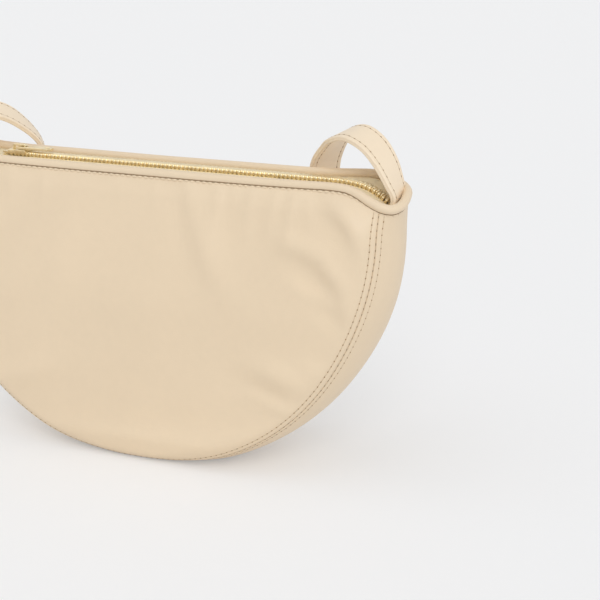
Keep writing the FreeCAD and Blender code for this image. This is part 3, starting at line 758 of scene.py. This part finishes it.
class BAG_OT_stage(bpy.types.Operator):
    """Sets the floor, the light and the camera"""
    bl_idname = "bag.stage"
    bl_label = "Stage"

    def execute(self, context):
        scene = context.scene
        scene.view_settings.view_transform = "Standard"
        clear_selection()
        bpy.ops.mesh.primitive_plane_add(size=40)
        floor = named("studio_floor")
        floor.data.materials.append(floor_finish())
        scene.world = bpy.data.worlds.new("studio")
        scene.world.use_nodes = True
        tree = scene.world.node_tree
        plain = feed(tree, tree.nodes["Background"], {"Color": SKY_COLOUR, "Strength": SKY_LIGHT})
        seen = node(tree, "ShaderNodeBackground", {"Color": BACKDROP_COLOUR})
        mix_seen(tree, seen_directly(tree), plain, seen, "World Output")
        for name, place, spread, power in LAMPS:
            lamp = set_up(bpy.data.lights.new(name, "SUN"), angle=math.radians(spread), energy=power)
            aim(name, lamp, Vector(place), Vector(place))
        turn, rise = math.radians(CAMERA_TURN), math.radians(CAMERA_RISE)
        back = Vector((math.sin(turn) * math.cos(rise), -math.cos(turn) * math.cos(rise), math.sin(rise)))
        lens = bpy.data.cameras.new("photo_camera")
        set_up(lens, lens=CAMERA_LENS, sensor_width=CAMERA_SENSOR)
        place = Vector(CAMERA_TARGET) * MM + back * CAMERA_DISTANCE * MM
        scene.camera = aim("photo_camera", lens, place, back)
        return {"FINISHED"}


# Leather and lining
BAG_MIDDLE = Vector((0, 0, 0.14))
LINING_GAP = 0.2
FILLER_INSET = 1.1
PANEL_COLUMNS = 300
LINING_COLUMNS = 110
GUSSET_COLUMNS = 240
GUSSET_ROWS = 34


def lined_leather(label, solid, layout, columns, lining_columns, rows):
    """Leather that faces away from the bag's middle and the lining inside it, both thickened inwards."""
    s = sizes()
    for name, inset, count, thickness, look, slot, replaced in (
            ("_leather", 0.0, columns, s.leather, "cream_leather", "leather", solid),
            ("_lining_cloth", s.leather + LINING_GAP, lining_columns, s.lining, "lining_cloth", "lining",
             label + "_lining")):
        made = walled_sheet(label + name, count, rows, layout(inset), thickness,
                            lambda face: face.normal.dot(face.center - BAG_MIDDLE))
        dress(made, look, "bag", (replaced,))


class BAG_OT_panels(bpy.types.Operator):
    """Builds the front and back leather panels and their linings"""
    bl_idname = "bag.panels"
    bl_label = "Panels"

    def execute(self, context):
        binding = Binding()
        for label, back in (("front", False), ("back", True)):
            lined_leather(label, label + "_panel", lambda inset: panel_points(binding, back, inset),
                          PANEL_COLUMNS, LINING_COLUMNS, len(MARGINS) - 1)
        return {"FINISHED"}


class BAG_OT_gusset(bpy.types.Operator):
    """Builds the gusset strip and its lining"""
    bl_idname = "bag.gusset"
    bl_label = "Gusset"

    def execute(self, context):
        binding = Binding()
        lined_leather("gusset", "gusset", lambda inset: gusset_points(binding, inset),
                      GUSSET_COLUMNS, GUSSET_COLUMNS, GUSSET_ROWS)
        return {"FINISHED"}


class BAG_OT_binding(bpy.types.Operator):
    """Builds the rolled binding of the mouth and the cord inside it"""
    bl_idname = "bag.binding"
    bl_label = "Binding"

    def execute(self, context):
        s = sizes()
        loop = Binding().loop()
        roll = tube_piece("mouth_roll", loop, s.binding_radius, closed=True, sides=8)
        dress(roll, "cream_leather", "bag", ("mouth_binding",))
        filler = tube_piece("roll_filler", loop, s.binding_radius - FILLER_INSET, closed=True, sides=3)
        dress(filler, "cord_cotton", "bag", ("binding_cord",))
        return {"FINISHED"}


# Stitches
SEAM_LINE = 0.17
DITCH_RADIUS = 0.4
GATHER_SIZE = 0.85
GATHER_PITCH = 3.6
GATHER_SIDES = 8
CREASE_TILT = 62
# Stitches that would lie lower than this are left out.
FLOOR_CLEAR = 0.7
# Length and radius of one thread, hole, dash or crease; holes, dashes and creases are dark marks of painted
# shade.
STRAP_THREAD = (2.9, 0.24)
STRAP_HOLE = (1.25, 0.31)
SEAM_THREAD = (2.6, 0.24)
SEAM_HOLE = (1.0, 0.33)
SEAM_DASH = (1.3, 0.2)
BINDING_CREASE = (1.8, 0.27)
# How deep threads and holes lie in the leather.
STRAP_THREAD_SINK = 0.1
STRAP_HOLE_SINK = 0.06
SEAM_THREAD_SINK = 0.08
SEAM_HOLE_SINK = 0.05
# From the binding's middle: radians further under than the sewn edge, and millimetres away.
DITCH_AT = (0.0, 2.66)
GATHERS_AT = (0.22, 3.1)
CREASES_AT = (0.28, 3.15)


def stitch_model(size):
    """One stitch of a length and radius, lying along its own X axis."""
    long, radius = size
    clear_selection()
    bpy.ops.mesh.primitive_uv_sphere_add(segments=8, ring_count=5, radius=1)
    model = named("stitch_model")
    edit_whole(model, lambda: bpy.ops.transform.rotate(
        value=math.pi / 2, orient_axis="Y", center_override=(0, 0, 0)))
    co = points_of(model) * (radius * MM)
    x = co[:, 0]
    co[:, 0] = np.where(np.abs(x) < 1e-9, 0, x + np.sign(x) * (long / 2 - radius) * MM)
    set_points(model, co)
    return model


def row_places(line, above, pitch, tilt=0.0, sink=0.0, start=0.5):
    """Stitch places along a line; the second line lies above it and gives the outward direction."""
    run = distances(line)
    count = max(int(run[-1] / pitch), 1)
    want = (np.arange(count) + start) * run[-1] / count
    here = pick(want, run, line)
    after, before = np.minimum(want + 0.6, run[-1]), np.maximum(want - 0.6, 0)
    along = unit(pick(after, run, line) - pick(before, run, line))
    out = pick(want, run, above) - here
    out = unit(out - (out * along).sum(1)[:, None] * along)
    keep = here[:, 2] > FLOOR_CLEAR
    here, along, out = here[keep], along[keep], out[keep]
    ahead = along * math.cos(math.radians(tilt)) + np.cross(out, along) * math.sin(math.radians(tilt))
    return list(zip(here - out * sink, ahead, np.cross(out, ahead), out))


def outward(p):
    """Directions straight out from the outline."""
    angle, _ = outline(p)
    return points_from([np.sin(angle), np.zeros_like(angle), -np.cos(angle)])


def gathers(loop, outer):
    """The small gathers of leather between the stitches under the binding."""
    line = np.vstack([loop, loop[:1]])
    away = np.vstack([outer, outer[:1]])
    run = distances(line)
    count = int(run[-1] / GATHER_PITCH)

    def place(u, v):
        here = pick(u * run[-1], run, line)
        out_here = pick(u * run[-1], run, away)
        turn = v * 2 * math.pi
        size = GATHER_SIZE * (0.2 + 0.8 * np.abs(np.sin(math.pi * u * count)) ** 0.7)
        moved = beside(here, out_here, GATHERS_AT) + out_here * (size * np.cos(turn))[:, None]
        moved[:, 2] += size * np.sin(turn) * 0.9
        return tuple(moved.T)

    strip = sheet_piece("binding_gathers", count * GATHER_SIDES, GATHER_SIDES, place)
    edit_whole(strip, merge_and_face_out)
    return soften(strip)


class BAG_OT_stitching(bpy.types.Operator):
    """Sews the seams and the foot of the binding"""
    bl_idname = "bag.stitching"
    bl_label = "Stitching"

    def execute(self, context):
        s = sizes()
        binding = Binding()
        models = [stitch_model(size) for size in (SEAM_THREAD, SEAM_DASH, SEAM_HOLE, BINDING_CREASE)]
        thread, dash, hole, crease = models
        gusset = gusset_points(binding, 0.0)
        p = np.linspace(-1 - SIDE_SHARE * 0.94, 1 + SIDE_SHARE * 0.94, 1600)
        out_two = outward(p) * 2
        for label, back in (("front", False), ("back", True)):
            panel = panel_points(binding, back, 0.0)
            margin = np.full_like(p, s.stitch_margin)
            end = 1 if back else -1
            depth = half_depth(gusset.at(p, np.full_like(p, end))[2])
            strip = points_from(gusset.at(p, end * (1 - s.stitch_margin / depth), 0.02))
            face = [points_from(panel.at(p, margin, lift)) for lift in (0.02, 2)]
            rows, holes = [], []
            for low, high in (face, (strip, strip + out_two)):
                rows += row_places(low, high, s.stitch_pitch, sink=SEAM_THREAD_SINK)
                holes += row_places(low, high, s.stitch_pitch, sink=SEAM_HOLE_SINK, start=0.0)
            dress(copies(label + "_seam_stitches", thread, rows), "thread", "bag")
            # The needle holes along the seams are dark dots of painted shade.
            dress(copies(label + "_seam_holes", hole, holes), "needle_hole_shade", "bag")
            seam = points_from(panel.at(p, np.zeros_like(p), 0.1))
            seam[:, 2] = np.maximum(seam[:, 2], SEAM_LINE + 0.02)
            line = tube_piece(label + "_seam_line", seam[::3], SEAM_LINE, sides=2)
            dress(line, "seam_shadow", "bag")
            ticks = row_places(seam, seam + out_two + np.array([0, 2.0 * end, 0]), s.stitch_pitch, sink=-0.02)
            dress(copies(label + "_seam_ticks", dash, ticks), "ditch_shadow", "bag")
        loop = binding.loop()
        outer = level_outward(np.vstack([loop[-1:], loop, loop[:1]]))[1:-1]
        line = beside(loop, outer, DITCH_AT)
        ditch = tube_piece("binding_ditch", line, DITCH_RADIUS, closed=True, sides=2)
        dress(ditch, "ditch_shadow", "bag")
        dress(gathers(loop, outer), "cream_leather", "bag")
        foot = beside(loop, outer, CREASES_AT)
        ticks = row_places(foot, foot + outer, GATHER_PITCH, tilt=CREASE_TILT)
        dress(copies("binding_ticks", crease, ticks), "ditch_shadow", "bag")
        for model in models:
            remove(model)
        return {"FINISHED"}


# Strap
STRAP_ROWS = 260
STRAP_STITCH_EDGE = 2.7
# Share of the strap's half that is stitched.
STRAP_SEWN = (0.09, 0.999)
# Middle of its right half: place, turn of its width in degrees, how far its back edge is tipped up.
STRAP_ROUTE = (
    (143.7, 0, 134, 0, 0), (144.2, 0, 144, 0, 0), (146.0, 0, 154, 0, 0), (147.8, 0, 163, 0, 0),
    (145.3, -0.5, 170.6, 6, 0.03), (140.6, -0.6, 180.5, 16, 0.03), (132.9, 0.8, 189.5, 22, 0.12),
    (122.1, 4.8, 194.1, 28, 0.20), (112.0, 11.5, 191.8, 30.5, 0.27), (103.6, 21.4, 185.4, 32, 0.24),
    (94.1, 31.2, 171.0, 33, 0.02), (91.0, 36.5, 150, 37, 0), (86, 40, 125, 32, 0), (80, 42, 95, 22, 0),
    (72, 43, 65, 12, 0), (63, 43, 38, 5, 0), (52, 43, 17, 2, 0), (36, 43, 5.5, 0, 0), (18, 43, 2.0, 0, 0),
    (0, 43, 1.8, 0, 0),
)


class Strap:
    """Middle line, width direction and outer direction along the right half of the strap."""

    def __init__(self):
        rows = curve_through(STRAP_ROUTE, STRAP_ROWS)
        self.place = rows[:, :3]
        along = unit(np.gradient(self.place, axis=0))
        twist = np.radians(rows[:, 3])
        across = points_from([np.sin(twist), np.cos(twist), rows[:, 4]])
        self.across = unit(across - (across * along).sum(1)[:, None] * along)
        self.out = np.cross(self.across, along)
        self.share = np.linspace(0, 1, STRAP_ROWS)

    def at(self, share, width, level):
        place, across, out = (pick(share, self.share, rows) for rows in (self.place, self.across, self.out))
        return place + across * np.asarray(width)[..., None] + out * np.asarray(level)[..., None]


def strap_section():
    """Points round the strap: flat faces with stitch grooves, round edges with a line between leathers."""
    s = sizes()
    half, thick = s.strap_width / 2, s.strap_thickness / 2
    row = half - STRAP_STITCH_EDGE
    right = [0, 3.5, row - 1.5, row - 0.5, row, row + 0.5, half - 0.75]
    face = np.array([-w for w in reversed(right[1:])] + right)
    groove = 0.12 * near_seam(np.abs(face) - row, 0.5)
    upper = list(zip(face, thick * (1 + 0.06 * (1 - (face / half) ** 2)) - groove))
    turn = [(half - 0.3, thick * 0.92), (half - 0.06, thick * 0.66), (half, thick * 0.25)]
    edge = turn + [(half - 0.22, 0.0)] + [(w, -h) for w, h in reversed(turn)]
    lower = [(w, -h) for w, h in reversed(upper)]
    return np.array(upper + edge + lower + [(-w, h) for w, h in reversed(edge)])


class BAG_OT_strap(bpy.types.Operator):
    """Builds both halves of the strap with their sewn ends and stitch rows"""
    bl_idname = "bag.strap"
    bl_label = "Strap"

    def execute(self, context):
        s = sizes()
        strap = Strap()
        section = strap_section()
        count = len(section)
        thread, hole = stitch_model(STRAP_THREAD), stitch_model(STRAP_HOLE)
        share = np.linspace(*STRAP_SEWN, 900)
        face = s.strap_thickness / 2
        for label, side in (("right", 1), ("left", -1)):
            mirror = np.array([side, 1, 1])

            def place(u, v):
                turn = np.rint(v * count).astype(int) % count
                return tuple((strap.at(u, section[turn, 0], section[turn, 1]) * mirror).T)

            leather = sheet_piece("strap_" + label, STRAP_ROWS, count, place)
            edit_whole(leather, merge_and_face_out, lambda: bpy.ops.mesh.fill_holes(sides=0),
                       lambda: bpy.ops.mesh.normals_make_consistent(inside=False))
            soften(leather)
            angle_shade(leather)
            # The strap's needle holes are dark dots of painted shade.
            rows, holes = [], []
            for level in (1, -1):
                for edge in (1, -1):
                    width = edge * (s.strap_width / 2 - STRAP_STITCH_EDGE)
                    low = strap.at(share, width, level * (face - 0.05)) * mirror
                    high = strap.at(share, width, level * (face + 2)) * mirror
                    rows += row_places(low, high, s.strap_pitch, sink=STRAP_THREAD_SINK)
                    holes += row_places(low, high, s.strap_pitch, sink=STRAP_HOLE_SINK, start=0.0)
            solids = ("strap_outer", "strap_inner", "strap_tail_" + label)
            # The strap's leather is paler to paint in its sheen.
            for piece, look, slot, replaced in (
                    (leather, "strap_leather_and_sheen", "leather", solids),
                    (copies("strap_stitches_" + label, thread, rows), "thread", "cord", ()),
                    (copies("strap_holes_" + label, hole, holes), "needle_hole_shade", "cord", ())):
                dress(piece, look, None, replaced)
                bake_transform(piece)
        remove(thread)
        remove(hole)
        return {"FINISHED"}


# Zip
TAPE_TOP = 167.6
TAPE_THICKNESS = 0.6
FLAP_GRID = (120, 30)
HALF_GRID = (60, 20)
LIP_GRID = (12, 28)
# From the middle to where a tape starts to bend towards the binding.
LEVEL_WIDTH = 3.4
# Height of the teeth's middle along the zip, which dips at its ends.
ZIP_DIP = ((0, 168.75), (108, 168.75), (118, 168.5), (126, 167.6), (132, 165.8), (137, 163.2), (142.5, 159.4))
ZIP_TOP = ZIP_DIP[0][1]
TAPE_END = 142.2
TUCKED_UNDER = 3.6
# Half the gap between the tapes under the teeth, and where they close: on the left past the last tooth.
TAPE_GAP = 1.6
CLOSED_GAP = 0.2
CLOSING_START = 93
CLOSING_RUN = 9
# The sewn-down tapes run on under the moving ones, a little lower.
UNDERLAP = 5.0
UNDER_STEP = 0.75
UNDER_RUN = 1.2
# The end of the tape turns down before the strap and runs on beside it.
LIP_START = 0.3
LIP_REACH = 1.7
LIP_BESIDE = 4.6
LIP_DROP = 9.0
STRAP_SIDE = 9.6
TOOTH_PITCH = 2.54
TOOTH_INSET = 0.55
TOOTH_SIZE = (1.24, 5.8, 3.0)
LAST_TOOTH = 140.2
STOP_SIZE = (1.6, 5.6, 2.2)
STOP_PLACE = 141.6
STOP_TILT = -34
# The lower half of the slider lies this much lower, under the tapes.
SLIDER_SPLIT = 168.7
SLIDER_DROP = 1.7


def zip_height(x):
    line = curve_through([(a, 0, b) for a, b in ZIP_DIP], 200)
    return np.interp(np.abs(x), line[:, 0], line[:, 2])


def cube_model(name, size):
    clear_selection()
    bpy.ops.mesh.primitive_cube_add(size=1)
    model = named(name)
    edit_whole(model, lambda: bpy.ops.transform.resize(value=[each * MM for each in size]))
    return model


def tooth_model():
    """One zip tooth along its own Y axis: a foot on the tape and a thinner nose that meets the other row."""
    model = cube_model("tooth_model", TOOTH_SIZE)
    edit_whole(model, lambda: bpy.ops.transform.translate(value=(0, -0.25 * MM, 0)),
               lambda: bpy.ops.mesh.bisect(plane_co=(0, -1 * MM, 0), plane_no=(0, 1, 0)))
    for vertex in model.data.vertices:
        nose = vertex.co.y > MM
        vertex.co.x *= 0.8 if nose else 1.2
        if nose and vertex.co.z < 0:
            vertex.co.z += TOOTH_SIZE[2] * 0.24 * MM
    edit_whole(model, merge_and_face_out,
               lambda: bpy.ops.mesh.bevel(offset=0.26 * MM, segments=1, affect="EDGES"))
    return model


def tooth_place(x, side):
    """A tooth of one row, leaning with the dip of the zip's end."""
    here, ahead = zip_height(x), zip_height(x + 0.4)
    along = np.array([0.4, 0, ahead - here])
    along /= np.linalg.norm(along)
    return (x, 0, here), along, (0, -side, 0), np.array([-along[2], 0, along[0]])


def teeth_row(name, tooth, places, body, solid):
    teeth = copies(name, tooth, places)
    angle_shade(teeth)
    dress(teeth, "zip_brass", body, (solid,))


def tape_sheet(name, grid, place):
    return walled_sheet(name, *grid, place, TAPE_THICKNESS, lambda face: face.normal.z)


def tape_edge(binding, x, side):
    """How far from the middle a tape goes under the binding, and the height there."""
    edge, height = binding.rim_at(x, side > 0)
    return np.abs(edge) - TUCKED_UNDER, height


def end_height(x, y, outer, height, lowered=0.0):
    """Height of a sewn-down tape: along the teeth by the zip's dip, at its outer edge by the binding."""
    z = zip_height(x) - ZIP_TOP + TAPE_TOP - lowered
    return z + (height - 0.4 - z) * smooth((y - LEVEL_WIDTH) / (outer - 4))


def span(solid):
    """Lowest and highest x of a solid, in millimetres."""
    return [end[0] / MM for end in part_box(solid)]


def moving_zip(binding, tooth, label, side):
    """The tape and teeth of one side that open."""
    low, high = span("zip_tape_" + label)

    def flap(u, v):
        x = low + (high - low) * u
        outer, height = tape_edge(binding, x, side)
        y = TAPE_GAP + (outer - TAPE_GAP) * v
        return x, side * y, TAPE_TOP - (TAPE_TOP - height + 1.0) * smooth((y - LEVEL_WIDTH) / 6)

    tape = tape_sheet("tape_" + label, FLAP_GRID, flap)
    dress(tape, "woven_tape", None, ("zip_tape_" + label,))
    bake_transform(tape)
    low, high = span("zip_teeth_" + label)
    places = [((x, 0, ZIP_TOP), (1, 0, 0), (0, -side, 0), (0, 0, 1))
              for x in np.arange(low + TOOTH_INSET, high, TOOTH_PITCH)]
    teeth_row("teeth_" + label, tooth, places, "zip_" + label, "zip_teeth_" + label)


def sewn_zip(binding, tooth, label, end):
    """The tapes and teeth at one end, which stay sewn down."""
    start = min(abs(x) for x in span("zip_end_tape_" + label))
    parts = []
    for side in (-1, 1):
        def run(u, v):
            x = start - UNDERLAP + (TAPE_END - start + UNDERLAP) * u
            outer, height = tape_edge(binding, x, side)
            closing = smooth((x - CLOSING_START) / CLOSING_RUN) * (end < 0)
            gap = TAPE_GAP - (TAPE_GAP - CLOSED_GAP) * closing
            y = gap + (outer - gap) * v
            lowered = UNDER_STEP * (1 - smooth((x - start + UNDER_RUN) / UNDER_RUN))
            return end * x, side * y, end_height(x, y, outer, height, lowered)

        def lip(u, v):
            outer, height = tape_edge(binding, TAPE_END, side)
            y = CLOSED_GAP + (outer - CLOSED_GAP) * v
            past = smooth((y - STRAP_SIDE) / 1.4)
            x = TAPE_END - LIP_START + (LIP_REACH + LIP_BESIDE * past) * u
            drop = 0.05 + LIP_DROP * (1 - past) * u ** 2 + 0.6 * past * u
            return end * x, side * y, end_height(TAPE_END, y, outer, height) - drop

        parts += [tape_sheet("tape_half", HALF_GRID, run), tape_sheet("tape_lip", LIP_GRID, lip)]
    tape = joined("tape_end_" + label, parts)
    dress(tape, "woven_tape", "bag", ("zip_end_tape_" + label,))
    last = LAST_TOOTH if end > 0 else abs(span("zip_end_teeth_left")[0]) - 0.5
    places = []
    for side, row in ((-1, "front"), (1, "back")):
        x = span("zip_teeth_" + row)[1 if end > 0 else 0] + end * (TOOTH_PITCH - TOOTH_INSET)
        while abs(x) < last:
            if abs(x) > start - 0.8:
                places.append(tooth_place(x, side))
            x += end * TOOTH_PITCH
    teeth_row("teeth_end_" + label, tooth, places, "bag", "zip_end_teeth_" + label)


def bottom_stop():
    stop = cube_model("stop_end", STOP_SIZE)
    place = (STOP_PLACE * MM, 0, zip_height(STOP_PLACE) * MM)
    edit_whole(stop, lambda: bpy.ops.transform.rotate(
                   value=math.radians(STOP_TILT), orient_axis="Y", center_override=(0, 0, 0)),
               lambda: bpy.ops.transform.translate(value=place),
               lambda: bpy.ops.mesh.bevel(offset=0.4 * MM, segments=3, affect="EDGES"))
    angle_shade(stop)
    dress(stop, "zip_brass", "bag", ("zip_bottom_stop",))


def slider_parts():
    """The slider with its lowered wings, its pull and the top stops, with softened edges."""
    wings = bpy.data.objects["slider_body"].copy()
    wings.data = wings.data.copy()
    wings.name = "slider_wings"
    bpy.context.scene.collection.objects.link(wings)
    for vertex in wings.data.vertices:
        if vertex.co.z < SLIDER_SPLIT * MM:
            vertex.co.z -= SLIDER_DROP * MM
    dress(wings, "zip_brass", "slider", ("slider_body",))
    for name in ("slider_wings", "slider_bridge", "pull_tab", "zip_top_stops"):
        part = bpy.data.objects[name]
        paint(part, "zip_brass")
        set_up(part.modifiers.new("weld", "WELD"), merge_threshold=0.00001)
        set_up(part.modifiers.new("edges", "BEVEL"), width=0.25 * MM, segments=2, limit_method="ANGLE",
               angle_limit=math.radians(40), harden_normals=True)


class BAG_OT_zip(bpy.types.Operator):
    """Builds the zip's tapes, teeth, stops and slider"""
    bl_idname = "bag.zip"
    bl_label = "Zip"

    def execute(self, context):
        binding = Binding()
        tooth = tooth_model()
        for label, side in (("front", -1), ("back", 1)):
            moving_zip(binding, tooth, label, side)
        for label, end in (("left", -1), ("right", 1)):
            sewn_zip(binding, tooth, label, end)
        remove(tooth)
        bottom_stop()
        slider_parts()
        return {"FINISHED"}


# Sidebar and run
STEPS = ("stage", "finishes", "panels", "gusset", "binding", "zip", "strap", "stitching")


class BAG_PT_sidebar(bpy.types.Panel):
    """Lists the bag's pieces"""
    bl_idname = "BAG_PT_sidebar"
    bl_label = "Half moon bag"
    bl_space_type = "VIEW_3D"
    bl_region_type = "UI"
    bl_category = "Bag"

    def draw(self, context):
        for name in STEPS:
            self.layout.operator("bag." + name)
        for held in (context.scene.bag_sizes, context.scene.bag_colours):
            for key in held.__annotations__:
                self.layout.prop(held, key)


CLASSES = (BagSizes, BagColours, BAG_OT_stage, BAG_OT_finishes, BAG_OT_panels, BAG_OT_gusset, BAG_OT_binding,
           BAG_OT_zip, BAG_OT_strap, BAG_OT_stitching, BAG_PT_sidebar)


def register():
    for each in CLASSES:
        bpy.utils.register_class(each)
    bpy.types.Scene.bag_sizes = bpy.props.PointerProperty(type=BagSizes)
    bpy.types.Scene.bag_colours = bpy.props.PointerProperty(type=BagColours)


def unregister():
    del bpy.types.Scene.bag_colours
    del bpy.types.Scene.bag_sizes
    for each in reversed(CLASSES):
        bpy.utils.unregister_class(each)


def main():
    register()
    for name in STEPS:
        getattr(bpy.ops.bag, name)()


if __name__ == "__main__":
    main()
